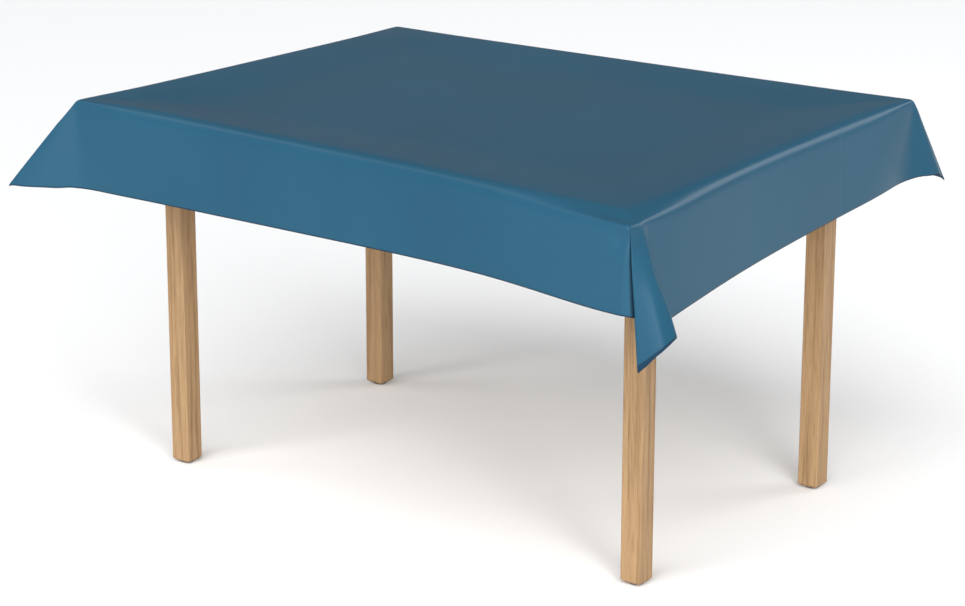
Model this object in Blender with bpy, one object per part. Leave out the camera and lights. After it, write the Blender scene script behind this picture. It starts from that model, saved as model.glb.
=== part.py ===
"""A dining table with a coated tablecloth draped over it.

The table is a board on four square legs. Aprons run between the legs, a folded steel bracket
in each corner pulls the leg up against its two aprons, and angle clips hold the board down.
The cloth is one thin sheet: flat on the board, hanging down on four sides, standing out as an
ear at three corners and folded to a flap at the fourth.

Metres, +Z up. X runs along the board's long side. The origin is on the floor, under the middle
of the whole object's box.
"""
import math

import bmesh
import bpy
import numpy as np

# ---- driving dimensions ------------------------------------------------------------------------
GAP = 0.0003                    # between pieces that touch
BORE_GAP = 0.0003               # round a pin, screw or bolt, on the radius

BOARD_LENGTH = 1.245
BOARD_WIDTH = 0.970
BOARD_THICK = 0.022
BOARD_TOP = 0.745               # height of the board's upper face
BOARD_CORNER = 0.006            # radius of the board's upright corners
BOARD_EASE = 0.002              # easing of its upper and lower edges

LEG = 0.043                     # square section
LEG_IN_X = 0.058                # from the board's end to the leg's outer face
LEG_IN_Y = 0.151                # from the board's long edge to the leg's outer face
LEG_EASE = 0.002                # eased upright edges
LEG_FOOT_CHAMFER = 0.005

GLIDE_RADIUS = 0.014
GLIDE_THICK = 0.0035
GLIDE_EDGE = 0.001              # bevel round the glide's sole
GLIDE_PIN_RADIUS = 0.0016
GLIDE_PIN_LENGTH = 0.014

APRON_HEIGHT = 0.080
APRON_THICK = 0.020
APRON_SET_BACK = 0.008          # behind the legs' outer faces
APRON_EASE = 0.0015

BRACKET_STEEL = 0.002
BRACKET_HEIGHT = 0.056
BRACKET_STAND_OFF = 0.024       # from the leg's inner edge to the bracket's diagonal web
BRACKET_FLANGE = 0.028          # length of the flange along each apron
BRACKET_SCREW_IN = 0.0155       # from the web's foot to the screw in the flange

BOLT_RADIUS = 0.004
BOLT_IN_LEG = 0.034
BOLT_BEYOND_NUT = 0.006
WASHER_RADIUS = 0.009
WASHER_THICK = 0.0016
NUT_ACROSS_FLATS = 0.013
NUT_THICK = 0.0065

SCREW_RADIUS = 0.0018
SCREW_LENGTH = 0.014            # under the head
SCREW_HEAD_RADIUS = 0.0038
SCREW_HEAD_THICK = 0.0024
SCREW_HOLE_SPARE = 0.002        # pilot hole beyond the screw's point

CLIP_STEEL = 0.002
CLIP_WIDTH = 0.022
CLIP_ARM = 0.026                # each arm of the angle, measured outside
CLIP_SCREW_IN = 0.016           # from the angle's outer faces to the screw in each arm

CLOTH_THICK = 0.0012
PANEL_FLARE = 2.5               # degrees that a hanging side leans outward
TOP_MARGIN = 0.040              # strip along the board's edges round the cloth's flat field

# Overhang of the flat cloth past the board at each corner: beyond the end, beyond the long side.
# Corners are named by their signs along X and Y.
OVERHANG = {
    "front_left": (0.160, 0.158),
    "front_right": (0.212, 0.181),
    "back_right": (0.162, 0.160),
    "back_left": (0.160, 0.160),
}
# How the cloth hangs off each corner, as rays from the board's corner. A ray is given by its
# angle on the flat cloth, from 0 (straight over the long side) to 90 (straight over the end),
# and by how far it leans from plumb, in degrees, past the end and past the long side.
FAN_EDGE = 58.0                 # how far each fan of rays reaches into the sides, degrees
RAYS = {
    "front_left": [(-14, -14, 0), (-5, -6, 5), (6, 4, 12), (18, 16, 17), (32, 30, 16),
                   (45, 42, 12), (58, 31, 4), (72, 17, -2), (84, 6, -6), (96, 2, -11)],
    "front_right": [(-12, -12, 3), (0, 0, 4), (24, 8, 7), (47, 11, 8), (54, 15, 1),
                    (66, 18, -12), (75, 12, -16), (84, 5, -15), (96, 3, -17)],
    "back_right": [(-6, -11, 2), (8, -13, 9), (22, -10, 22), (34, -5, 34), (44, 0, 41),
                   (54, 7, 37), (68, 12, 24), (80, 9, 11), (92, 3, 1), (102, 0, -11)],
    "back_left": [(-12, -12, 1), (0, -1, 7), (16, 9, 17), (30, 20, 26), (45, 30, 29),
                  (60, 26, 18), (74, 16, 8), (90, 7, -1), (102, 1, -12)],
}
CORNER_SIGNS = {"front_left": (-1, -1), "front_right": (1, -1),
                "back_right": (1, 1), "back_left": (-1, 1)}

# ---- sizes that follow -------------------------------------------------------------------------
HALF_X = BOARD_LENGTH / 2
HALF_Y = BOARD_WIDTH / 2
BOARD_UNDER = BOARD_TOP - BOARD_THICK
LEG_INNER_X = HALF_X - LEG_IN_X - LEG           # the leg's inner faces, from the middle
LEG_INNER_Y = HALF_Y - LEG_IN_Y - LEG
RAIL_TOP = BOARD_UNDER - GAP                    # top of the legs and aprons
RAIL_MIDDLE = RAIL_TOP - APRON_HEIGHT / 2       # height of the bolts' axes
APRON_INNER = LEG - APRON_SET_BACK - APRON_THICK  # apron's inner face, outside the leg's inner one
FLANGE_FACE = APRON_INNER - GAP                 # bracket's face on the apron, outside the same
WEB_FOOT = BRACKET_STAND_OFF * math.sqrt(2) + FLANGE_FACE   # web to leg, along the apron
FLANGE_SCREW = WEB_FOOT + BRACKET_SCREW_IN
WEB_BACK = BRACKET_STAND_OFF + BRACKET_STEEL    # web's far face, along the diagonal
SCREW_REACH = SCREW_LENGTH + SCREW_HOLE_SPARE


# ---- small tools -------------------------------------------------------------------------------
def clear_scene():
    for old in list(bpy.data.objects):
        bpy.data.objects.remove(old, do_unlink=True)


def material(name, colour, roughness, metallic=0.0):
    mat = bpy.data.materials.new(name)
    mat.use_nodes = True
    bsdf = mat.node_tree.nodes["Principled BSDF"]
    bsdf.inputs["Base Color"].default_value = (*colour, 1.0)
    bsdf.inputs["Roughness"].default_value = roughness
    bsdf.inputs["Metallic"].default_value = metallic
    return mat


def finish_object(name, bm, mat, smooth=False):
    bmesh.ops.recalc_face_normals(bm, faces=bm.faces)
    mesh = bpy.data.meshes.new(name)
    bm.to_mesh(mesh)
    bm.free()
    if smooth:
        mesh.shade_smooth()
        mesh.set_sharp_from_angle(angle=math.radians(35))
    obj = bpy.data.objects.new(name, mesh)
    bpy.context.collection.objects.link(obj)
    if mat is not None:
        mesh.materials.append(mat)
    return obj


def box_mesh(low, high):
    bm = bmesh.new()
    bmesh.ops.create_cube(bm, size=1.0)
    low, high = np.array(low), np.array(high)
    for vert in bm.verts:
        vert.co = tuple((low + high) / 2 + np.array(vert.co) * (high - low))
    return bm


def bevel_edges(bm, keep, width, segments=1):
    edges = [edge for edge in bm.edges if keep(edge)]
    bmesh.ops.bevel(bm, geom=edges, offset=width, segments=segments, profile=0.5,
                    affect="EDGES", clamp_overlap=True)


def rising(edge):
    one, two = edge.verts
    return abs(one.co.z - two.co.z) > 1e-6


def turned(profile, segments, hole=0.0):
    """Turn (radius, height) pairs about Z; with a hole, the profile is closed on its wall."""
    bm = bmesh.new()
    angles = np.linspace(0.0, 2 * math.pi, segments, endpoint=False)
    points = list(profile)
    if hole:
        points = [(hole, profile[0][1])] + points + [(hole, profile[-1][1])]
    rings = [[bm.verts.new((r * math.cos(a), r * math.sin(a), z)) for a in angles]
             for r, z in points]
    pairs = list(zip(rings, rings[1:]))
    if hole:
        pairs.append((rings[-1], rings[0]))
    for lower, upper in pairs:
        for i in range(segments):
            j = (i + 1) % segments
            bm.faces.new((lower[i], lower[j], upper[j], upper[i]))
    if not hole:
        bm.faces.new(rings[0])
        bm.faces.new(rings[-1])
    return bm


def extruded(outline, low, high):
    """A flat outline in X and Y, carried up Z from low to high."""
    bm = bmesh.new()
    under = [bm.verts.new((x, y, low)) for x, y in outline]
    over = [bm.verts.new((x, y, high)) for x, y in outline]
    bm.faces.new(under)
    bm.faces.new(over)
    for i in range(len(outline)):
        j = (i + 1) % len(outline)
        bm.faces.new((under[i], under[j], over[j], over[i]))
    return bm


def aim(bm, direction, place):
    """Turn a mesh so that its +Z points along direction, then move its origin to place."""
    z = np.array(direction, float)
    z /= np.linalg.norm(z)
    x = np.cross((0.0, 0.0, 1.0), z)
    x = np.array((1.0, 0.0, 0.0)) if np.linalg.norm(x) < 1e-6 else x / np.linalg.norm(x)
    y = np.cross(z, x)
    for vert in bm.verts:
        vert.co = tuple(x * vert.co.x + y * vert.co.y + z * vert.co.z + np.array(place))
    return bm


def drill(obj, radius, start, direction, depth, segments=16):
    """Cut a round hole from start, along direction, with an exact Boolean."""
    bm = aim(turned([(radius, 0.0), (radius, depth)], segments), direction, start)
    cutter = finish_object("cutter_" + obj.name, bm, None)
    cutter.hide_render = True
    cutter.display_type = "WIRE"
    cut = obj.modifiers.new("hole", "BOOLEAN")
    cut.operation = "DIFFERENCE"
    cut.solver = "EXACT"
    cut.object = cutter


# ---- the cloth ---------------------------------------------------------------------------------
def ray_direction(lean_x, lean_y):
    """Unit vector that leans from plumb by the two angles, degrees, towards +X and +Y."""
    lean = math.radians(math.hypot(lean_x, lean_y))
    if lean < 1e-9:
        return np.array((0.0, 0.0, -1.0))
    across = np.array((lean_x, lean_y)) / math.hypot(lean_x, lean_y)
    return np.array((*(across * math.sin(lean)), -math.cos(lean)))


def side_lean(angle):
    """Lean of a ray that lies in a hanging side, for its angle from the side's plumb line."""
    swing = math.radians(angle)
    flare = math.radians(PANEL_FLARE)
    direction = np.array((math.sin(swing), math.cos(swing) * math.sin(flare),
                          math.cos(swing) * math.cos(flare)))
    tilt = math.degrees(math.acos(direction[2]))
    across = direction[:2] / np.linalg.norm(direction[:2])
    return across * tilt


def corner_fan(corner):
    """Board corner and the hem points around it, from the long side round to the end."""
    over_end, over_side = OVERHANG[corner]
    signs = np.array((*CORNER_SIGNS[corner], 1.0))
    along = side_lean(FAN_EDGE)
    rays = [(-FAN_EDGE, -along[0], along[1])] + RAYS[corner]
    rays += [(90 + FAN_EDGE, along[1], -along[0])]
    hem = []
    for angle, lean_x, lean_y in rays:
        theta = math.radians(angle)
        to_side = over_side / math.cos(theta) if math.cos(theta) > 1e-6 else math.inf
        to_end = over_end / math.sin(theta) if math.sin(theta) > 1e-6 else math.inf
        hem.append(min(to_side, to_end) * ray_direction(lean_x, lean_y) * signs)
    apex = np.array((HALF_X + GAP, HALF_Y + GAP, 0.0)) * signs
    apex[2] = BOARD_TOP + GAP
    return apex, [apex + point for point in hem]


def cloth_sheet():
    """Underside of the cloth: the flat top, four sides and the rays at the corners."""
    bm = bmesh.new()
    order = ["front_left", "front_right", "back_right", "back_left"]
    fans = {}
    for corner in order:
        apex, hem = corner_fan(corner)
        if CORNER_SIGNS[corner][0] * CORNER_SIGNS[corner][1] > 0:
            hem = hem[::-1]                     # all fans run the same way round the board
        fans[corner] = (bm.verts.new(apex), [bm.verts.new(point) for point in hem])
    flat = {}                                   # corners of the top's flat field
    for corner in order:
        sx, sy = CORNER_SIGNS[corner]
        flat[corner] = bm.verts.new((sx * (HALF_X - TOP_MARGIN), sy * (HALF_Y - TOP_MARGIN),
                                     BOARD_TOP + GAP))
    for corner, following in zip(order, order[1:] + order[:1]):
        apex, hem = fans[corner]
        next_apex, next_hem = fans[following]
        for one, two in zip(hem, hem[1:]):
            bm.faces.new((apex, one, two))
        side = (np.array(next_apex.co) - np.array(apex.co))
        side /= np.linalg.norm(side)
        tops = []
        for start, end in ((apex, hem[-1]), (next_apex, next_hem[0])):
            reach = side @ (np.array(end.co) - np.array(start.co))
            tops.append(bm.verts.new(np.array(start.co) + side * reach))
        bm.faces.new((apex, hem[-1], tops[0]))
        bm.faces.new((tops[0], hem[-1], next_hem[0], tops[1]))
        bm.faces.new((tops[1], next_hem[0], next_apex))
        bm.faces.new((apex, *tops, next_apex, flat[following], flat[corner]))
    bm.faces.new([flat[corner] for corner in order])
    return bm


def make_tablecloth(mat):
    bm = cloth_sheet()
    bmesh.ops.triangulate(bm, faces=[face for face in bm.faces if len(face.verts) > 3])
    obj = finish_object("tablecloth", bm, mat)
    if sum(face.normal.z * face.area for face in obj.data.polygons) < 0:
        obj.data.flip_normals()
    thick = obj.modifiers.new("thickness", "SOLIDIFY")
    thick.solidify_mode = "NON_MANIFOLD"
    thick.nonmanifold_thickness_mode = "CONSTRAINTS"
    thick.nonmanifold_boundary_mode = "NONE"
    thick.thickness = CLOTH_THICK
    thick.offset = 1.0
    return obj


# ---- the table ---------------------------------------------------------------------------------
def leg_corner(corner):
    """The leg's inner upright edge, and the signs that point outward from it."""
    sx, sy = CORNER_SIGNS[corner]
    return sx * LEG_INNER_X, sy * LEG_INNER_Y, sx, sy


def make_board(mat):
    bm = box_mesh((-HALF_X, -HALF_Y, BOARD_UNDER), (HALF_X, HALF_Y, BOARD_TOP))
    bevel_edges(bm, rising, BOARD_CORNER, segments=3)
    bevel_edges(bm, lambda edge: not rising(edge), BOARD_EASE)
    return finish_object("tabletop", bm, mat)


def make_leg(corner, mat):
    x, y, sx, sy = leg_corner(corner)
    far_x, far_y = x + sx * LEG, y + sy * LEG
    foot = GLIDE_THICK + GAP
    bm = box_mesh((min(x, far_x), min(y, far_y), foot), (max(x, far_x), max(y, far_y), RAIL_TOP))
    bevel_edges(bm, lambda edge: max(v.co.z for v in edge.verts) < foot + 1e-6, LEG_FOOT_CHAMFER)
    bevel_edges(bm, rising, LEG_EASE)
    leg = finish_object("leg_" + corner, bm, mat)
    middle = (x + sx * LEG / 2, y + sy * LEG / 2)
    drill(leg, GLIDE_PIN_RADIUS + BORE_GAP, (*middle, 0.0), (0, 0, 1),
          GLIDE_THICK + GLIDE_PIN_LENGTH + BORE_GAP + GAP, segments=8)
    reach = BOLT_IN_LEG + SCREW_HOLE_SPARE
    start = (x - sx * BOLT_RADIUS, y - sy * BOLT_RADIUS, RAIL_MIDDLE)
    drill(leg, BOLT_RADIUS + BORE_GAP, start, (sx, sy, 0), reach + BOLT_RADIUS * math.sqrt(2))
    return leg


def make_glide(corner, mat):
    x, y, sx, sy = leg_corner(corner)
    profile = [(GLIDE_RADIUS - GLIDE_EDGE, 0.0), (GLIDE_RADIUS, GLIDE_EDGE),
               (GLIDE_RADIUS, GLIDE_THICK), (GLIDE_PIN_RADIUS, GLIDE_THICK),
               (GLIDE_PIN_RADIUS, GLIDE_THICK + GLIDE_PIN_LENGTH)]
    bm = aim(turned(profile, 24), (0, 0, 1), (x + sx * LEG / 2, y + sy * LEG / 2, 0.0))
    return finish_object("foot_glide_" + corner, bm, mat, smooth=True)


def apron_frame(side):
    """For an apron: half its length, its inner face, and the outward direction."""
    if side in ("front", "back"):
        return LEG_INNER_X - GAP, LEG_INNER_Y + APRON_INNER, (0, -1 if side == "front" else 1)
    return LEG_INNER_Y - GAP, LEG_INNER_X + APRON_INNER, (-1 if side == "left" else 1, 0)


def make_apron(side, mat):
    half, inner, outward = apron_frame(side)
    out = np.array(outward)
    along = np.array((abs(out[1]), abs(out[0])))
    corners = np.array([along * half + out * inner, -along * half + out * (inner + APRON_THICK)])
    low = (*corners.min(axis=0), RAIL_TOP - APRON_HEIGHT)
    high = (*corners.max(axis=0), RAIL_TOP)
    bm = box_mesh(low, high)
    bevel_edges(bm, lambda edge: max(v.co.z for v in edge.verts) < low[2] + 1e-6, APRON_EASE)
    apron = finish_object("apron_" + side, bm, mat)
    end_screw = half + GAP - FLANGE_SCREW       # from the middle of the apron
    for place, height in ((-end_screw, RAIL_MIDDLE), (end_screw, RAIL_MIDDLE),
                          (0.0, RAIL_TOP - CLIP_SCREW_IN)):
        start = along * place + out * (inner - GAP)
        drill(apron, SCREW_RADIUS + BORE_GAP, (*start, height), (*out, 0), SCREW_REACH + GAP,
              segments=12)
    return apron


def bracket_outline():
    """Outline from the leg's inner edge, both axes pointing to the middle of the table."""
    near = -FLANGE_FACE
    end = WEB_FOOT + BRACKET_FLANGE
    bend = WEB_FOOT + BRACKET_STEEL * (math.sqrt(2) - 1)
    inside = near + BRACKET_STEEL
    outer = [(end, near), (WEB_FOOT, near), (near, WEB_FOOT), (near, end)]
    inner = [(inside, end), (inside, bend), (bend, inside), (end, inside)]
    return outer + inner


def make_bracket(corner, mat):
    x, y, sx, sy = leg_corner(corner)
    outline = [(x - sx * p, y - sy * q) for p, q in bracket_outline()]
    bm = extruded(outline, RAIL_MIDDLE - BRACKET_HEIGHT / 2, RAIL_MIDDLE + BRACKET_HEIGHT / 2)
    bracket = finish_object("corner_bracket_" + corner, bm, mat)
    drill(bracket, BOLT_RADIUS + BORE_GAP, (x, y, RAIL_MIDDLE), (-sx, -sy, 0),
          BRACKET_STAND_OFF * 2)
    for head, inward in bracket_screws(corner):
        out = -np.array(inward)
        start = np.array(head) - out * SCREW_HEAD_THICK
        drill(bracket, SCREW_RADIUS + BORE_GAP, start, out, SCREW_LENGTH, segments=12)
    return bracket


def make_hanger_bolt(corner, mat):
    x, y, sx, sy = leg_corner(corner)
    end = WEB_BACK + WASHER_THICK + NUT_THICK + 2 * GAP + BOLT_BEYOND_NUT
    tip = BOLT_RADIUS / 2
    profile = [(tip, -BOLT_IN_LEG), (BOLT_RADIUS, -BOLT_IN_LEG + BOLT_RADIUS),
               (BOLT_RADIUS, end - tip / 2), (BOLT_RADIUS - tip / 2, end)]
    bm = aim(turned(profile, 16), (-sx, -sy, 0), (x, y, RAIL_MIDDLE))
    return finish_object("hanger_bolt_" + corner, bm, mat, smooth=True)


def make_washer_and_nut(corner, washer_mat, nut_mat):
    x, y, sx, sy = leg_corner(corner)
    inward = np.array((-sx, -sy, 0)) / math.sqrt(2)
    base = np.array((x, y, RAIL_MIDDLE)) + inward * (WEB_BACK + GAP)
    washer = turned([(WASHER_RADIUS, 0.0), (WASHER_RADIUS, WASHER_THICK)], 24,
                    hole=BOLT_RADIUS + BORE_GAP)
    finish_object("washer_" + corner, aim(washer, inward, base), washer_mat, smooth=True)
    base = base + inward * (WASHER_THICK + GAP)
    finish_object("nut_" + corner, aim(hex_nut(), inward, base), nut_mat)


def hex_nut():
    """A plain hexagon nut: the bore has two wall points for each flat."""
    bm = bmesh.new()
    hole = BOLT_RADIUS + BORE_GAP
    outer = NUT_ACROSS_FLATS / 2 / math.cos(math.pi / 6)
    flats = NUT_ACROSS_FLATS / 2
    rings = []
    for radius_even, radius_odd, z in ((hole, hole, 0.0), (outer, flats, 0.0),
                                       (outer, flats, NUT_THICK), (hole, hole, NUT_THICK)):
        ring = []
        for i in range(12):
            radius = radius_odd if i % 2 else radius_even
            ring.append(bm.verts.new((radius * math.cos(i * math.pi / 6),
                                      radius * math.sin(i * math.pi / 6), z)))
        rings.append(ring)
    for lower, upper in zip(rings, rings[1:] + rings[:1]):
        for i in range(12):
            j = (i + 1) % 12
            bm.faces.new((lower[i], lower[j], upper[j], upper[i]))
    return bm


def screw_mesh():
    """A pan-head screw that points along +Z, with the underside of its head at 0."""
    point = SCREW_RADIUS * 0.3
    profile = [(SCREW_HEAD_RADIUS * 0.6, -SCREW_HEAD_THICK),
               (SCREW_HEAD_RADIUS, -SCREW_HEAD_THICK / 2),
               (SCREW_HEAD_RADIUS, 0.0), (SCREW_RADIUS, 0.0),
               (SCREW_RADIUS, SCREW_LENGTH - SCREW_RADIUS * 2), (point, SCREW_LENGTH)]
    return turned(profile, 12)


def bracket_screws(corner):
    """Underside of each screw's head and the direction from the apron to the middle."""
    x, y, sx, sy = leg_corner(corner)
    depth = -FLANGE_FACE + BRACKET_STEEL + GAP
    return [((x - sx * FLANGE_SCREW, y - sy * depth, RAIL_MIDDLE), (0, -sy, 0)),
            ((x - sx * depth, y - sy * FLANGE_SCREW, RAIL_MIDDLE), (-sx, 0, 0))]


def make_bracket_screws(corner, mat):
    for which, (head, inward) in zip(("long", "short"), bracket_screws(corner)):
        bm = aim(screw_mesh(), -np.array(inward), head)
        finish_object(f"bracket_screw_{corner}_{which}", bm, mat, smooth=True)


def make_clip(side, clip_mat, screw_mat):
    """An angle clip at the middle of an apron, screwed to it and up into the board."""
    half, inner, outward = apron_frame(side)
    out = np.array((*outward, 0.0))
    along = np.cross(out, (0.0, 0.0, 1.0))
    face = inner - GAP                          # the clip's upright face, from the middle
    top = RAIL_TOP
    outline = [(0.0, 0.0), (CLIP_ARM, 0.0), (CLIP_ARM, -CLIP_STEEL), (CLIP_STEEL, -CLIP_STEEL),
               (CLIP_STEEL, -CLIP_ARM), (0.0, -CLIP_ARM)]
    bm = extruded(outline, -CLIP_WIDTH / 2, CLIP_WIDTH / 2)
    for vert in bm.verts:
        place = out * (face - vert.co.x) + along * vert.co.z + np.array((0, 0, top + vert.co.y))
        vert.co = tuple(place)
    clip = finish_object("top_clip_" + side, bm, clip_mat)
    low_head = out * (face - CLIP_STEEL - GAP) + np.array((0, 0, RAIL_TOP - CLIP_SCREW_IN))
    up_head = out * (face - CLIP_SCREW_IN) + np.array((0, 0, top - CLIP_STEEL - GAP))
    for which, head, way in (("apron", low_head, out), ("board", up_head, np.array((0, 0, 1.0)))):
        start = head - way * SCREW_HEAD_THICK
        drill(clip, SCREW_RADIUS + BORE_GAP, start, way, SCREW_LENGTH, segments=12)
        screw = aim(screw_mesh(), way, head)
        finish_object(f"clip_screw_{side}_{which}", screw, screw_mat, smooth=True)
    return up_head


def centre_everything():
    """Move the whole object so that the origin is under the middle of its box."""
    bpy.context.view_layer.update()
    cloth = bpy.data.objects["tablecloth"]
    evaluated = cloth.evaluated_get(bpy.context.evaluated_depsgraph_get())
    points = np.array([vert.co[:] for vert in evaluated.data.vertices])
    middle = (points.min(axis=0) + points.max(axis=0)) / 2
    for obj in bpy.data.objects:
        obj.location.x -= middle[0]
        obj.location.y -= middle[1]


def main():
    clear_scene()
    oilcloth = material("oilcloth", (0.045, 0.115, 0.185), 0.38)
    board_wood = material("board_wood", (0.52, 0.38, 0.22), 0.55)
    oak = material("oak", (0.46, 0.30, 0.15), 0.55)
    steel = material("bracket_steel", (0.60, 0.60, 0.58), 0.35, 1.0)
    zinc = material("zinc_fasteners", (0.66, 0.65, 0.60), 0.30, 1.0)
    plastic = material("glide_plastic", (0.03, 0.03, 0.03), 0.6)

    board = make_board(board_wood)
    for corner in CORNER_SIGNS:
        make_leg(corner, oak)
        make_glide(corner, plastic)
        make_bracket(corner, steel)
        make_hanger_bolt(corner, zinc)
        make_washer_and_nut(corner, zinc, zinc)
        make_bracket_screws(corner, zinc)
    for side in ("front", "back", "left", "right"):
        make_apron(side, oak)
        head = make_clip(side, steel, zinc)
        drill(board, SCREW_RADIUS + BORE_GAP, head, (0, 0, 1), SCREW_REACH, segments=12)
    make_tablecloth(oilcloth)
    centre_everything()


main()
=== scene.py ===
import math

import bpy
import numpy as np
from mathutils import Matrix, Vector


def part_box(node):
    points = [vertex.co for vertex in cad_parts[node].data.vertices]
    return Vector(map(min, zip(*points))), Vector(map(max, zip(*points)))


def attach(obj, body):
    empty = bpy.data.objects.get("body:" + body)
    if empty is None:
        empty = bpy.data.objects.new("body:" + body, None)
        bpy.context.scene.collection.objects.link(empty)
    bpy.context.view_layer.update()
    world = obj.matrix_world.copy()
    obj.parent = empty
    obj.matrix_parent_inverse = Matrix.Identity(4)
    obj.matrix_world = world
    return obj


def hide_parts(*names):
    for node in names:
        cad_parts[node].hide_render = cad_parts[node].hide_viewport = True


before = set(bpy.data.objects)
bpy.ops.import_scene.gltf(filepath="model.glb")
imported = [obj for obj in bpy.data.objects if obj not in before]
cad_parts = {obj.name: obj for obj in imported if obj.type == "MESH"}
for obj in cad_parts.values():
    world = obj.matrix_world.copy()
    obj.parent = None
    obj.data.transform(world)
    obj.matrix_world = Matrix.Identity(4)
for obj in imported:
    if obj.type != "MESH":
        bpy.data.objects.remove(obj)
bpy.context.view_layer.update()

# Lengths are metres and angles degrees, +Z up. The board's box places everything else.
boardLow, boardHigh = (np.array(corner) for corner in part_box("tabletop"))
boardMiddle = (boardLow + boardHigh) / 2
boardHalf = (boardHigh - boardLow) / 2
boardTop = boardHigh[2]
floorMiddle = Vector((boardMiddle[0], boardMiddle[1], 0.0))

view = {
    "place": (3.2736, -4.4732, 2.0257),   # from the point on the floor under the board's middle
    "turn": 36.485,                       # about the upright, from looking along +Y
    "dip": 16.780,                        # below level
    "roll": 0.085,
    "lens": 110.22,
    "sensor": 36.0,                       # both in millimetres
    "farthest": 60.0,
}


def placeCamera():
    # turned by Rz(turn) Rx(90 - dip) Rz(roll)
    camera = bpy.data.objects.new("camera", bpy.data.cameras.new("camera"))
    camera.data.lens = view["lens"]
    camera.data.sensor_width = view["sensor"]
    camera.data.clip_end = view["farthest"]
    turn = Matrix.Rotation(math.radians(view["turn"]), 3, "Z")
    tilt = Matrix.Rotation(math.radians(90 - view["dip"]), 3, "X")
    roll = Matrix.Rotation(math.radians(view["roll"]), 3, "Z")
    camera.matrix_world = (turn @ tilt @ roll).to_4x4()
    camera.location = floorMiddle + Vector(view["place"])
    bpy.context.scene.collection.objects.link(camera)
    bpy.context.scene.camera = camera


lights = {
    "backdrop": (1.0, 1.0, 1.0),  # what the camera sees behind the table
    "room": (0.93, 0.96, 1.0),    # what lights the surfaces from all round, dimmer
    "roomStrength": 0.27,
    "sunStrength": 5.3,
    "sunSpread": 85.0,
    "sunTurn": 21.0,              # from -Y towards +X
    "sunHeight": 27.0,
    # name: (place from the board's middle on the floor, width, height, watts, height aimed at)
    "lamps": {
        "crest": ((2.5, 3.4, 2.2), 2.2, 1.6, 58.0, 0.9),
        "left": ((-3.4, -1.4, 4.2), 1.6, 1.6, 30.0, 0.7),
        "fold": ((3.4, -2.3, 1.7), 0.9, 0.9, 42.0, 0.6),
    },
}


def placeRoom():
    world = bpy.data.worlds.new("studio")
    world.use_nodes = True
    tree = world.node_tree
    room = tree.nodes["Background"]
    room.inputs["Color"].default_value = (*lights["room"], 1.0)
    room.inputs["Strength"].default_value = lights["roomStrength"]
    backdrop = tree.nodes.new("ShaderNodeBackground")
    backdrop.inputs["Color"].default_value = (*lights["backdrop"], 1.0)
    seen = tree.nodes.new("ShaderNodeLightPath")
    either = tree.nodes.new("ShaderNodeMixShader")
    tree.links.new(seen.outputs["Is Camera Ray"], either.inputs["Fac"])
    tree.links.new(room.outputs["Background"], either.inputs[1])
    tree.links.new(backdrop.outputs["Background"], either.inputs[2])
    tree.links.new(either.outputs["Shader"], tree.nodes["World Output"].inputs["Surface"])
    bpy.context.scene.world = world
    bpy.context.scene.view_settings.view_transform = "Standard"


def placeLights():
    for name, (place, width, height, watts, aim) in lights["lamps"].items():
        lamp = bpy.data.lights.new(name + "_light", "AREA")
        lamp.shape = "RECTANGLE"
        lamp.size = width
        lamp.size_y = height
        lamp.energy = watts
        stand = bpy.data.objects.new(name + "_light", lamp)
        stand.location = floorMiddle + Vector(place)
        gaze = floorMiddle + Vector((0.0, 0.0, aim)) - stand.location
        stand.rotation_euler = gaze.to_track_quat("-Z", "Y").to_euler()
        bpy.context.scene.collection.objects.link(stand)
    sun = bpy.data.objects.new("sun", bpy.data.lights.new("sun", "SUN"))
    sun.data.energy = lights["sunStrength"]
    sun.data.angle = math.radians(lights["sunSpread"])
    turn, height = math.radians(lights["sunTurn"]), math.radians(lights["sunHeight"])
    towards = Vector((math.sin(turn) * math.cos(height), -math.cos(turn) * math.cos(height),
                      math.sin(height)))
    sun.rotation_euler = towards.to_track_quat("Z", "Y").to_euler()
    bpy.context.scene.collection.objects.link(sun)


ground = {"half": 30.0, "colour": (0.86, 0.86, 0.86), "roughness": 0.9}


def placeFloor():
    half = ground["half"]
    mesh = bpy.data.meshes.new("floor")
    mesh.from_pydata([(-half, -half, 0), (half, -half, 0), (half, half, 0), (-half, half, 0)], [],
                     [(0, 1, 2, 3)])
    maker = nodeMaker("floor_white")
    maker.shader.inputs["Base Color"].default_value = (*ground["colour"], 1.0)
    maker.shader.inputs["Roughness"].default_value = ground["roughness"]
    mesh.materials.append(maker.material)
    floor = bpy.data.objects.new("floor", mesh)
    bpy.context.scene.collection.objects.link(floor)


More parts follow.
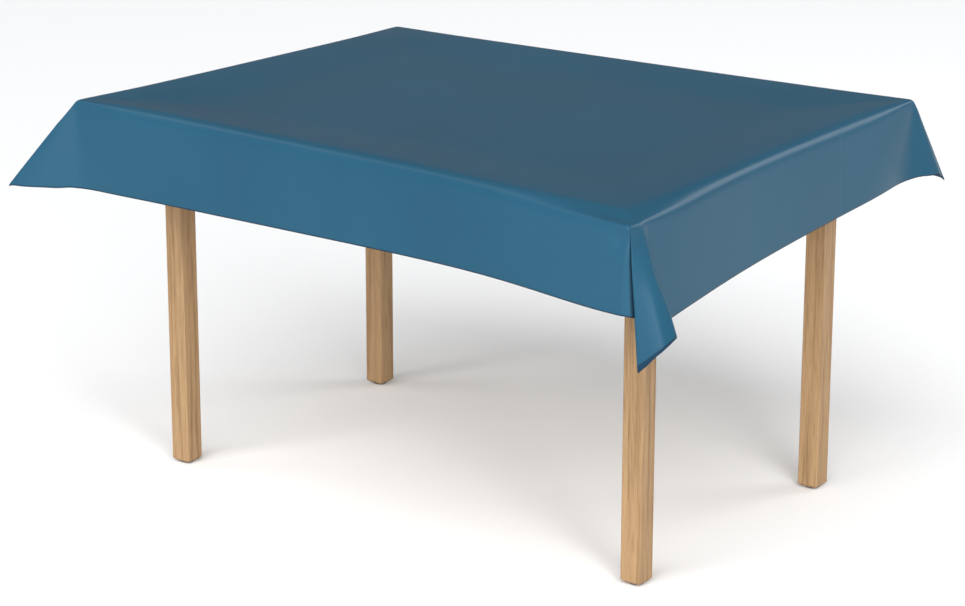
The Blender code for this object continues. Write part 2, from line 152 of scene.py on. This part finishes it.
class nodeMaker:
    # adds nodes to one material and joins them by socket name
    def __init__(self, name):
        self.material = bpy.data.materials.new(name)
        self.material.use_nodes = True
        self.tree = self.material.node_tree
        self.shader = self.tree.nodes["Principled BSDF"]

    def add(self, kind, links=None, **values):
        node = self.tree.nodes.new(kind)
        for key, value in values.items():
            if hasattr(node, key):
                setattr(node, key, value)
            else:
                node.inputs[key.replace("_", " ")].default_value = value
        for key, source in (links or {}).items():
            self.tree.links.new(source, node.inputs[key])
        return node

    def noise(self, vector, **values):
        return self.add("ShaderNodeTexNoise", {"Vector": vector}, **values).outputs["Fac"]

    def ramp(self, source, stops):
        node = self.add("ShaderNodeValToRGB", {"Fac": source})
        ramp = node.color_ramp
        while len(ramp.elements) < len(stops):
            ramp.elements.new(0.5)
        for element, (place, colour) in zip(ramp.elements, stops):
            element.position = place
            element.color = (*colour, 1.0)
        return node.outputs["Color"]

    def between(self, source, low, high, side):
        # map range with its From or To sockets, as side says, set to low and high
        node = self.add("ShaderNodeMapRange", {"Value": source})
        node.inputs[side + " Min"].default_value = low
        node.inputs[side + " Max"].default_value = high
        return node

    def over(self, under, colour, share):
        # under where share is 0, colour where it is 1
        node = self.add("ShaderNodeMix", {"Factor": share}, data_type="RGBA")
        self.tree.links.new(under, node.inputs["A"])
        node.inputs["B"].default_value = (*colour, 1.0)
        return node.outputs["Result"]

    def join(self, source, socket):
        self.tree.links.new(source, self.shader.inputs[socket])


cloth = {
    "thick": 0.0010,
    "clear": 0.0004,              # between its underside and the board
    "crestOut": 0.009,            # the line it bends over, past the board's edge
    "overhangCells": 52,
    "overhangSpacing": 1.35,      # above 1, the overhang's cells are finer near the crest
    "bendCells": 22,
    "bendWidth": 0.085,
    "endCells": 64,               # between the bends, along X
    "sideCells": 46,              # the same along Y
    "flare": 2.5,                 # lean of a hanging side from plumb
    "sideAngles": (-90.0, -75.0, -58.0, -42.0),   # rays in a hanging side, up to the corner
    # Flat overhang past the crest at each corner: (past the end, past the long side).
    "overhangs": {
        (-1, -1): (0.150, 0.174),
        (1, -1): (0.205, 0.159),
        (1, 1): (0.159, 0.162),
        (-1, 1): (0.160, 0.160),
    },
    # How the cloth leaves each corner: (angle on the flat cloth, lean past the end, lean past the
    # long side). The angle runs from 0, straight over the long side, to 90, straight over the
    # end. None is filled in from the distance along the way.
    "rays": {
        (-1, -1): [(-24, -24, 2.3), (-16, -16, 2.0), (None, -8, 3.2), (None, 2, 7),
                   (None, 14, 11.5), (None, 27, 14.8), (41.5, 36, 15.4), (None, 27, 8),
                   (None, 18, 1.5), (None, 7, -3), (98, 2.5, -8), (110, 2.0, -20)],
        (1, -1): [(-20, -20, 2.3), (-4, -4, 2.5), (None, 0, 2.6), (None, 3.2, 2.0),
                  (None, 2.6, -5), (None, 0.8, -14), (None, 0.2, -20), (None, 0.7, -21.5),
                  (None, 1.2, -20), (None, 1.4, -14), (None, 1.7, -8), (None, 2.2, -5),
                  (51.65, 2.9, -2.9), (None, 7.0, -0.6), (None, 11.6, 1.6), (None, 15.0, 1.5),
                  (60, 17.0, -1.6), (None, 17.3, -4.5), (None, 15, -6.5), (None, 10.5, -5),
                  (None, 7.5, -1), (None, 5.2, 2), (None, 4.2, 6.5), (None, 3.4, 6.0),
                  (None, 3.1, 0), (98, 3, -8), (110, 2.3, -20)],
        (1, 1): [(-18, -18, 2.2), (-6, -11, 2), (8, -13, 9), (22, -9, 20), (34, -3, 29),
                 (44.8, 2, 34.5), (54, 4, 30), (68, 10, 22), (80, 8, 11), (92, 3, 1),
                 (102, 0, -11), (114, 1.0, -24)],
        (-1, 1): [(-20, -20, 2.3), (-12, -12, 1), (0, -1, 7), (16, 9, 17), (30, 20, 26),
                  (45, 30, 29), (60, 26, 18), (74, 16, 8), (90, 7, -1), (102, 1, -12),
                  (112, 1.5, -22)],
    },
    # The folded corner: its rays start along the end's crest, from the corner to "width" from it,
    # as their angle goes from "first" to "last". "gather" shortens the folded part, and fades
    # out at "gatherFrom" and "gatherTo".
    "flap": {"corner": (1, -1), "first": 51.65, "last": 60.0, "width": 0.045,
             "gather": (0.995, 0.885), "gatherFrom": 35.0, "gatherTo": 100.0, "halvings": 22},
    # Radius of the softening: along the straight bends, at the corners, on the ears' ridges and
    # in the fold, whose own radius comes in between these distances past the end and the side.
    "soft": {"samples": 110, "bend": 0.033, "bendAtCorner": 0.009, "cornerReach": 0.10,
             "ridge": 0.008, "ridgeFrom": 0.045, "foldRidge": 0.005, "foldPast": (-0.02, 0.02),
             "foldSide": (-0.16, -0.10)},
    # How far each corner of the crest stands out past the end and past the side, and over what
    # length of crest each of them fades.
    "hang": {
        (-1, -1): ((0.005, 0.003), (0.16, 0.16)),
        (1, -1): ((0.029, 0.039), (0.34, 0.28)),
        (1, 1): ((0.000, 0.004), (0.20, 0.30)),
        (-1, 1): ((0.003, 0.002), (0.20, 0.20)),
    },
    # The folded corner sags past the board's edge, fully at "full" from it.
    "sag": {"corner": (1, -1), "depth": 0.012, "reach": 0.20, "start": -0.002, "full": 0.034},
    # The front side is pressed in just under the folded corner.
    "dent": {"past": -0.012, "side": 0.026, "depth": 0.0045, "reach": 0.020},
    # The cloth bows up towards its crest: height at each corner of the board, straight in
    # between, and the distances from the crest where the bow starts and ends.
    "bow": {
        "heights": {(-1, -1): 0.0190, (1, -1): 0.0005, (1, 1): 0.0120, (-1, 1): 0.0025},
        "start": -0.20,
        "end": -0.008,
        "softShare": 0.13,        # and up by this share of the bend's softening
    },
    # The dark rim along the hem: the cut edge's and backing's own dark navy, with painted shade on
    # them.
    # It is wider at the fold, and back to its own width at "foldEnd".
    "rim": {"width": 0.0022, "atFold": 0.012, "foldEnd": 0.110, "blur": 0.0004},
    # Painted shade inside the fold, where little light gets in: the angles it comes in over, how
    # far before the flap it goes out, and how far past the end and the side it comes in.
    "fold_painted_shade": {"opens": (4.0, 9.0), "closes": 2.0, "past": 0.01, "side": 0.02},
}
crestHalf = boardHalf[:2] + cloth["crestOut"]

coating = {
    "colour": (0.0142, 0.0695, 0.118),
    "colourDeep": (0.0125, 0.0630, 0.108),
    "cloudScale": 3.0,
    "cloudStops": (0.35, 0.65),   # where the cloudiness is all deep, and all light
    # the dark rim: the cut edge's and backing's own dark navy, with painted shade
    "rim": (0.006, 0.030, 0.060),
    # painted shade inside the fold
    "fold_painted_shade": (0.003, 0.015, 0.028),
    "embossScale": 420.0,
    "crease": 0.22,               # flat line of the faint packing crease
    "creaseWidth": 0.004,
    "creaseHeight": 2.5,
    "bumpStrength": 0.25,
    "bumpDistance": 0.0004,
    "roughness": (0.30, 0.38),
    "specular": 0.14,
}


def coatedMaterial():
    maker = nodeMaker("oilcloth_coating")
    place = maker.add("ShaderNodeTexCoord").outputs["Object"]
    cloud = maker.noise(place, Scale=coating["cloudScale"], Detail=3.0)
    deep, light = coating["cloudStops"]
    colour = maker.ramp(cloud, [(deep, coating["colourDeep"]), (light, coating["colour"])])
    # the dark rim along the hem, its colour partly painted shade
    rim = maker.add("ShaderNodeAttribute", attribute_name="hem_rim_and_painted_shade")
    blur = cloth["rim"]["blur"]
    onRim = maker.between(rim.outputs["Fac"], -blur, blur, "From")
    rimmed = maker.over(colour, coating["rim"], onRim.outputs["Result"])
    # painted shade inside the fold darkens the colour there
    fold_painted_shade = maker.add("ShaderNodeAttribute", attribute_name="fold_painted_shade")
    dark = maker.over(rimmed, coating["fold_painted_shade"], fold_painted_shade.outputs["Fac"])
    maker.join(dark, "Base Color")
    gloss = maker.between(cloud, *coating["roughness"], "To")
    maker.join(gloss.outputs["Result"], "Roughness")
    maker.shader.inputs["Specular IOR Level"].default_value = coating["specular"]
    # height = fine emboss + one faint packing crease along the flat line v = crease
    emboss = maker.noise(place, Scale=coating["embossScale"], Detail=2.0)
    flat = maker.add("ShaderNodeUVMap", uv_map="flat_cloth")
    across = maker.add("ShaderNodeSeparateXYZ", {"Vector": flat.outputs["UV"]})
    fromLine = maker.add("ShaderNodeMath", {0: across.outputs["Y"]}, operation="SUBTRACT")
    fromLine.inputs[1].default_value = coating["crease"]
    away = maker.add("ShaderNodeMath", {0: fromLine.outputs["Value"]}, operation="ABSOLUTE")
    groove = maker.between(away.outputs["Value"], 0.0, coating["creaseWidth"], "From")
    groove.interpolation_type = "SMOOTHSTEP"
    groove.inputs["To Max"].default_value = coating["creaseHeight"]
    height = maker.add("ShaderNodeMath", {0: emboss, 1: groove.outputs["Result"]},
                       operation="ADD")
    bump = maker.add("ShaderNodeBump", {"Height": height.outputs["Value"]})
    bump.inputs["Strength"].default_value = coating["bumpStrength"]
    bump.inputs["Distance"].default_value = coating["bumpDistance"]
    maker.join(bump.outputs["Normal"], "Normal")
    return maker.material


# The cloth's underside and its cut edge: deep and light colour, scale and detail of the mottle.
undersides = {
    "oilcloth_backing": {"deep": (0.010, 0.032, 0.070), "light": (0.016, 0.046, 0.095),
                         "scale": 900.0, "roughness": 0.9},
    "oilcloth_cut_edge": {"deep": (0.006, 0.016, 0.035), "light": (0.012, 0.028, 0.055),
                          "scale": 400.0, "roughness": 0.7},
}


def undersideMaterial(name):
    look = undersides[name]
    maker = nodeMaker(name)
    place = maker.add("ShaderNodeTexCoord").outputs["Object"]
    mottle = maker.noise(place, Scale=look["scale"], Detail=2.0)
    maker.join(maker.ramp(mottle, [(0.3, look["deep"]), (0.7, look["light"])]), "Base Color")
    maker.shader.inputs["Roughness"].default_value = look["roughness"]
    return maker.material


def leanTurn(leanX, leanY):
    # unit vectors: sin(lean) along the way it leans, -cos(lean) down
    lean = np.hypot(leanX, leanY)
    share = np.sin(np.radians(lean)) / np.maximum(lean, 1e-9)
    return np.stack((leanX * share, leanY * share, -np.cos(np.radians(lean))), -1)


def sideLean(angle):
    # a ray in a hanging side: x = sin(angle), y = cos(angle) sin(flare), z = -cos(angle) cos(flare)
    swing, flare = np.radians(angle), math.radians(cloth["flare"])
    x, y = np.sin(swing), np.cos(swing) * math.sin(flare)
    tilt = np.degrees(np.arccos(np.clip(np.cos(swing) * math.cos(flare), -1.0, 1.0)))
    scale = tilt / np.maximum(np.hypot(x, y), 1e-9)
    return x * scale, y * scale


def filledRays(corner):
    # whole list of rays, from along one crest to along the other, with every angle known
    angles = cloth["sideAngles"]
    before = [(angle, *sideLean(angle)) for angle in angles]
    after = [(90.0 - angle, *sideLean(angle)[::-1]) for angle in angles[::-1]]
    listed = before + cloth["rays"][corner] + after
    knots = np.array([[np.nan if value is None else value for value in ray] for ray in listed])
    step = np.hypot(*np.diff(knots[:, 1:], axis=0).T)
    reach = np.concatenate(([0.0], np.cumsum(step)))
    known = ~np.isnan(knots[:, 0])
    knots[:, 0] = np.interp(reach, reach[known], knots[known, 0])
    return knots


cornerRays = {corner: filledRays(corner) for corner in cloth["rays"]}


def smoothThrough(knots, at):
    # cubic through the knots (Catmull-Rom for uneven steps), for every value in at
    x, y = knots[:, 0], knots[:, 1:]
    step = np.diff(x)
    slope = np.diff(y, axis=0) / step[:, None]
    both = (step[1:] + step[:-1])[:, None]
    inner = (slope[:-1] * step[1:, None] + slope[1:] * step[:-1, None]) / both
    tangent = np.concatenate((slope[:1], inner, slope[-1:]))
    left = np.clip(np.searchsorted(x, at) - 1, 0, len(step) - 1)
    t = ((at - x[left]) / step[left])[..., None]
    width = step[left][..., None]
    return (y[left] * (1 + 2 * t) * (1 - t) ** 2 + y[left + 1] * t * t * (3 - 2 * t)
            + width * (tangent[left] * t * (1 - t) ** 2 - tangent[left + 1] * t * t * (1 - t)))


def ease(value, start, end):
    # 0 at start, 1 at end, level at both: t t (3 - 2 t)
    t = np.clip((value - start) / (end - start), 0.0, 1.0)
    return t * t * (3 - 2 * t)


def pastCrest(u, v, corner):
    # flat distances past the crest's corner, beyond the end and beyond the long side
    return corner[0] * u - crestHalf[0], corner[1] * v - crestHalf[1]


def flapStart(angle):
    # where a ray starts along the end's crest: width (angle - first) / (last - first)
    flap = cloth["flap"]
    share = np.clip((angle - flap["first"]) / (flap["last"] - flap["first"]), 0.0, 1.0)
    return flap["width"] * share


def flapAngle(past, side):
    # the angle a whose ray passes through the point: past cos(a) = (side + start(a)) sin(a),
    # found by halving
    low, high = np.full(past.shape, -90.0), np.full(past.shape, 180.0)
    for _ in range(cloth["flap"]["halvings"]):
        middle = (low + high) / 2
        turn = np.radians(middle)
        before = past * np.cos(turn) > (side + flapStart(middle)) * np.sin(turn)
        low, high = np.where(before, middle, low), np.where(before, high, middle)
    return np.where(past > 0, (low + high) / 2, np.degrees(np.arctan2(past, side)))


def flapGather(angle):
    # share of the length that a ray keeps, straight in between the angles listed
    flap = cloth["flap"]
    angles = (flap["gatherFrom"], flap["first"], flap["last"], flap["gatherTo"])
    return np.interp(angle, angles, (1.0, *flap["gather"], 1.0))


def creased(u, v):
    # Flat cloth point (u, v) to its place before softening. On the board it stays where it is.
    # Past a crest it is r along the ray of its angle from the nearest corner: corner + r d(angle).
    place = np.stack((u, v, np.zeros_like(u)), -1)
    for corner, knots in cornerRays.items():
        sx, sy = corner
        past, side = pastCrest(u, v, corner)
        mine = (sx * u >= 0) & (sy * v >= 0) & ((past > 0) | (side > 0))
        past, side = past[mine], side[mine]
        if corner == cloth["flap"]["corner"]:
            angle = flapAngle(past, side)
            start = flapStart(angle)
            reach = np.hypot(past, side + start) * flapGather(angle)
        else:
            angle = np.degrees(np.arctan2(past, side))
            start = 0.0
            reach = np.hypot(past, side)
        lean = smoothThrough(knots, angle)
        point = reach[:, None] * leanTurn(lean[:, 0], lean[:, 1])
        point[:, 1] -= start
        place[mine] = (point + (crestHalf[0], crestHalf[1], 0.0)) * (sx, sy, 1.0)
    return place


def softRadius(u, v):
    # wide along the straight bends, tight at the corners, on the ears' ridges and in the fold
    soft = cloth["soft"]
    pastU, pastV = np.abs(u) - crestHalf[0], np.abs(v) - crestHalf[1]
    nearCorner = np.exp(-(pastU ** 2 + pastV ** 2) / soft["cornerReach"] ** 2)
    bend = soft["bend"] + (soft["bendAtCorner"] - soft["bend"]) * nearCorner
    past, side = pastCrest(u, v, cloth["flap"]["corner"])
    inFold = ease(past, *soft["foldPast"]) * ease(side, *soft["foldSide"])
    ridge = soft["ridge"] + (soft["foldRidge"] - soft["ridge"]) * inFold
    return bend + (ridge - bend) * ease(np.minimum(pastU, pastV), 0.0, soft["ridgeFrom"])


def softenedPlaces(u, v):
    # mean of the creased shape over a disc round each point, as a sunflower of samples:
    # sample i is sqrt((i + 1/2) / count) out and i golden angles round
    count = cloth["soft"]["samples"]
    radius = softRadius(u, v)
    turn = np.arange(count) * math.pi * (3 - math.sqrt(5))
    away = np.sqrt((np.arange(count) + 0.5) / count)
    du, dv = away * np.cos(turn), away * np.sin(turn)
    total = np.zeros(u.shape + (3,))
    for stepU, stepV in zip(du - du.mean(), dv - dv.mean()):
        total += creased(u + radius * stepU, v + radius * stepV)
    return total / count


def clothLines(half, middleCells):
    # cell lines across the cloth: overhang, bend, middle, bend, overhang, as the place on the
    # board and the share past the crest, t ^ spacing
    over = np.linspace(1.0, 0.0, cloth["overhangCells"] + 1) ** cloth["overhangSpacing"]
    bend = np.linspace(0.0, 1.0, cloth["bendCells"] + 1)
    width = cloth["bendWidth"]
    middle = np.linspace(-half + width, half - width, middleCells + 1)
    inside = np.concatenate((-half + width * bend, middle[1:-1], half - width * bend[::-1]))
    base = np.concatenate((np.full(len(over) - 1, -half), inside, np.full(len(over) - 1, half)))
    share = np.concatenate((over[:-1], np.zeros(len(inside)), over[::-1][1:]))
    return base, share


def flatCloth():
    # flat (u, v) of every point: the crest line's place plus its share of the overhang there,
    # which runs straight from one corner's overhang to the next
    baseU, shareU = clothLines(crestHalf[0], cloth["endCells"])
    baseV, shareV = clothLines(crestHalf[1], cloth["sideCells"])
    u, v = np.meshgrid(baseU, baseV, indexing="ij")
    alongU = (u / crestHalf[0] + 1) / 2
    alongV = (v / crestHalf[1] + 1) / 2
    low, high = cloth["overhangs"][(-1, -1)], cloth["overhangs"][(1, -1)]
    lowBack, highBack = cloth["overhangs"][(-1, 1)], cloth["overhangs"][(1, 1)]
    leftOver = low[0] + (lowBack[0] - low[0]) * alongV
    rightOver = high[0] + (highBack[0] - high[0]) * alongV
    frontOver = low[1] + (high[1] - low[1]) * alongU
    backOver = lowBack[1] + (highBack[1] - lowBack[1]) * alongU
    overU = np.where(u < 0, leftOver, rightOver) * shareU[:, None]
    overV = np.where(v < 0, frontOver, backOver) * shareV[None, :]
    return u + np.sign(u) * overU, v + np.sign(v) * overV


def hangShift(u, v):
    # the slow part of the shape: edges bowed up, corners pulled out, amount exp(-(d / reach)^2)
    # for d along the crest from the corner, one corner sagging, and the dent
    bow, sag, dent = cloth["bow"], cloth["sag"], cloth["dent"]
    shift = np.zeros(u.shape + (3,))
    edge = np.maximum(np.abs(u) - crestHalf[0], np.abs(v) - crestHalf[1])
    alongU = np.clip((u / crestHalf[0] + 1) / 2, 0.0, 1.0)
    alongV = np.clip((v / crestHalf[1] + 1) / 2, 0.0, 1.0)
    bowed = ease(edge, bow["start"], bow["end"])
    softened = softRadius(u, v) - cloth["soft"]["foldRidge"]
    shift[..., 2] += bow["softShare"] * softened * bowed
    for (sx, sy), height in bow["heights"].items():
        share = (alongU if sx > 0 else 1 - alongU) * (alongV if sy > 0 else 1 - alongV)
        shift[..., 2] += height * share * bowed
    for corner, (amounts, reaches) in cloth["hang"].items():
        past, side = pastCrest(u, v, corner)
        inward = np.minimum(past, 0.0) ** 2 + np.minimum(side, 0.0) ** 2
        outX, outY = (amount * np.exp(-inward / reach ** 2)
                      for amount, reach in zip(amounts, reaches))
        shift[..., 0] += corner[0] * outX
        shift[..., 1] += corner[1] * outY
        if corner == sag["corner"]:
            outside = np.maximum(past + outX, side + outY) + cloth["crestOut"]
            down = sag["depth"] * np.exp(-inward / sag["reach"] ** 2)
            shift[..., 2] -= down * ease(outside, sag["start"], sag["full"])
    past, side = pastCrest(u, v, cloth["flap"]["corner"])
    fromDent = (past - dent["past"]) ** 2 + (side - dent["side"]) ** 2
    shift[..., 1] += dent["depth"] * np.exp(-fromDent / dent["reach"] ** 2)
    return shift


def rimShare(u, v):
    # above 0 within the dark rim, which is partly painted shade: its width less the distance to the
    # nearest hem
    rim = cloth["rim"]
    toEnd = np.minimum(u.max(axis=0) - u, u - u.min(axis=0))
    fromFront = v - v.min(axis=1)[:, None]
    toSide = np.minimum(v.max(axis=1)[:, None] - v, fromFront)
    inFold = (u > 0) * np.clip(1 - fromFront / rim["foldEnd"], 0.0, 1.0)
    width = rim["width"] + (rim["atFold"] - rim["width"]) * inFold
    return np.maximum(width - toEnd, rim["width"] - toSide)


def foldPaintedShadeShare(u, v):
    # painted shade: 1 inside the fold, where little light gets in, 0 outside it
    fold_painted_shade, first = cloth["fold_painted_shade"], cloth["flap"]["first"]
    past, side = pastCrest(u, v, cloth["flap"]["corner"])
    angle = flapAngle(past, side)
    inside = ease(angle, *fold_painted_shade["opens"]) * (1 - ease(angle, first - fold_painted_shade["closes"], first))
    return inside * ease(past, 0.0, fold_painted_shade["past"]) * ease(side, 0.0, fold_painted_shade["side"])


def makeCloth():
    # the outer face; the thickness is added under it
    u, v = flatCloth()
    place = softenedPlaces(u, v) + hangShift(u, v)
    place += (boardMiddle[0], boardMiddle[1], boardTop + cloth["clear"] + cloth["thick"])
    rows, columns = u.shape
    index = np.arange(rows * columns).reshape(rows, columns)
    faces = np.stack((index[:-1, :-1], index[1:, :-1], index[1:, 1:], index[:-1, 1:]), -1)
    mesh = bpy.data.meshes.new("tablecloth_sheet")
    mesh.from_pydata(place.reshape(-1, 3).tolist(), [], faces.reshape(-1, 4).tolist())
    flatMap = mesh.uv_layers.new(name="flat_cloth")
    corners = np.zeros(len(mesh.loops), dtype=np.int32)
    mesh.loops.foreach_get("vertex_index", corners)
    flatPlaces = np.stack((u.ravel()[corners], v.ravel()[corners]), -1)
    flatMap.data.foreach_set("uv", flatPlaces.ravel())
    # masks for the dark rim, partly painted shade, and for the painted shade inside the fold
    for name, values in (("hem_rim_and_painted_shade", rimShare(u, v)), ("fold_painted_shade", foldPaintedShadeShare(u, v))):
        mesh.attributes.new(name, "FLOAT", "POINT")
        mesh.attributes[name].data.foreach_set("value", values.ravel())
    mesh.shade_smooth()
    mesh.materials.append(coatedMaterial())
    for name in undersides:
        mesh.materials.append(undersideMaterial(name))
    sheet = bpy.data.objects.new("tablecloth_sheet", mesh)
    bpy.context.scene.collection.objects.link(sheet)
    thickness = sheet.modifiers.new("thickness", "SOLIDIFY")
    thickness.thickness = cloth["thick"]
    thickness.offset = -1.0
    thickness.material_offset = 1
    thickness.material_offset_rim = 2
    thickness.use_even_offset = False
    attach(sheet, "tablecloth")
    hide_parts("tablecloth")


wood = {
    # name: (light streak, dark streak, how the pattern is squeezed along X, Y and Z)
    "oak_upright": ((0.310, 0.192, 0.094), (0.230, 0.136, 0.062), (1.0, 1.0, 0.035)),
    "board_wood": ((0.50, 0.36, 0.20), (0.42, 0.29, 0.15), (0.035, 1.0, 1.0)),
    "streakScale": 95.0,
    "streakWaver": 0.3,
    "streakStops": (0.36, 0.50, 0.66),
    "brightest": 1.08,            # of the light streak, at the last stop
    "poreScale": 520.0,
    "poreStops": (0.36, 0.50),
    "poreShade": (0.80, 0.76, 0.70),
    "roughness": (0.62, 0.46),    # in the pores, and between them
    "specular": 0.35,
}


def woodMaterial(name):
    # colour = broad streaks along the grain x fine pores; the roughness follows the pores
    light, dark, squeeze = wood[name]
    maker = nodeMaker(name)
    place = maker.add("ShaderNodeTexCoord").outputs["Object"]
    grain = maker.add("ShaderNodeMapping", {"Vector": place})
    grain.inputs["Scale"].default_value = squeeze
    streak = maker.noise(grain.outputs["Vector"], Scale=wood["streakScale"], Detail=3.0,
                         Distortion=wood["streakWaver"])
    pores = maker.noise(grain.outputs["Vector"], Scale=wood["poreScale"], Detail=2.0)
    bright = tuple(channel * wood["brightest"] for channel in light)
    colour = maker.ramp(streak, list(zip(wood["streakStops"], (dark, light, bright))))
    shade = maker.ramp(pores, list(zip(wood["poreStops"], (wood["poreShade"], (1.0, 1.0, 1.0)))))
    mixed = maker.add("ShaderNodeMix", data_type="RGBA", blend_type="MULTIPLY")
    mixed.inputs["Factor"].default_value = 1.0
    maker.tree.links.new(colour, mixed.inputs["A"])
    maker.tree.links.new(shade, mixed.inputs["B"])
    maker.join(mixed.outputs["Result"], "Base Color")
    satin = maker.between(pores, *wood["roughness"], "To")
    maker.join(satin.outputs["Result"], "Roughness")
    maker.shader.inputs["Specular IOR Level"].default_value = wood["specular"]
    return maker.material


fittings = {
    # name: (colour, roughness, metallic)
    "zinc": ((0.62, 0.61, 0.58), 0.35, 1.0),
    "bracket_steel": ((0.55, 0.55, 0.54), 0.4, 1.0),
    "glide_plastic": ((0.03, 0.03, 0.03), 0.5, 0.0),
    "speckScale": 300.0,
    "speckDark": 0.85,            # of the colour, in the dark specks
}


def fittingMaterial(name):
    colour, roughness, metallic = fittings[name]
    maker = nodeMaker(name)
    place = maker.add("ShaderNodeTexCoord").outputs["Object"]
    speck = maker.noise(place, Scale=fittings["speckScale"])
    dark = tuple(channel * fittings["speckDark"] for channel in colour)
    maker.join(maker.ramp(speck, [(0.3, dark), (0.7, colour)]), "Base Color")
    maker.shader.inputs["Roughness"].default_value = roughness
    maker.shader.inputs["Metallic"].default_value = metallic
    return maker.material


def dressTable():
    # every hard piece keeps its shape and gets the finish that the start of its name says
    board = woodMaterial("board_wood")
    steel = fittingMaterial("bracket_steel")
    finishes = {"leg_": woodMaterial("oak_upright"), "apron_": board, "tabletop": board,
                "corner_bracket": steel, "top_clip": steel,
                "foot_glide": fittingMaterial("glide_plastic")}
    zinc = fittingMaterial("zinc")    # bolts, washers, nuts and screws
    for name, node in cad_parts.items():
        finish = next((finishes[start] for start in finishes if name.startswith(start)), zinc)
        for holder in node.material_slots:
            holder.material = finish


placeCamera()
placeRoom()
placeLights()
placeFloor()
print("camera, lights and floor placed")
dressTable()
print("wood and fittings dressed")
makeCloth()
print("cloth made")
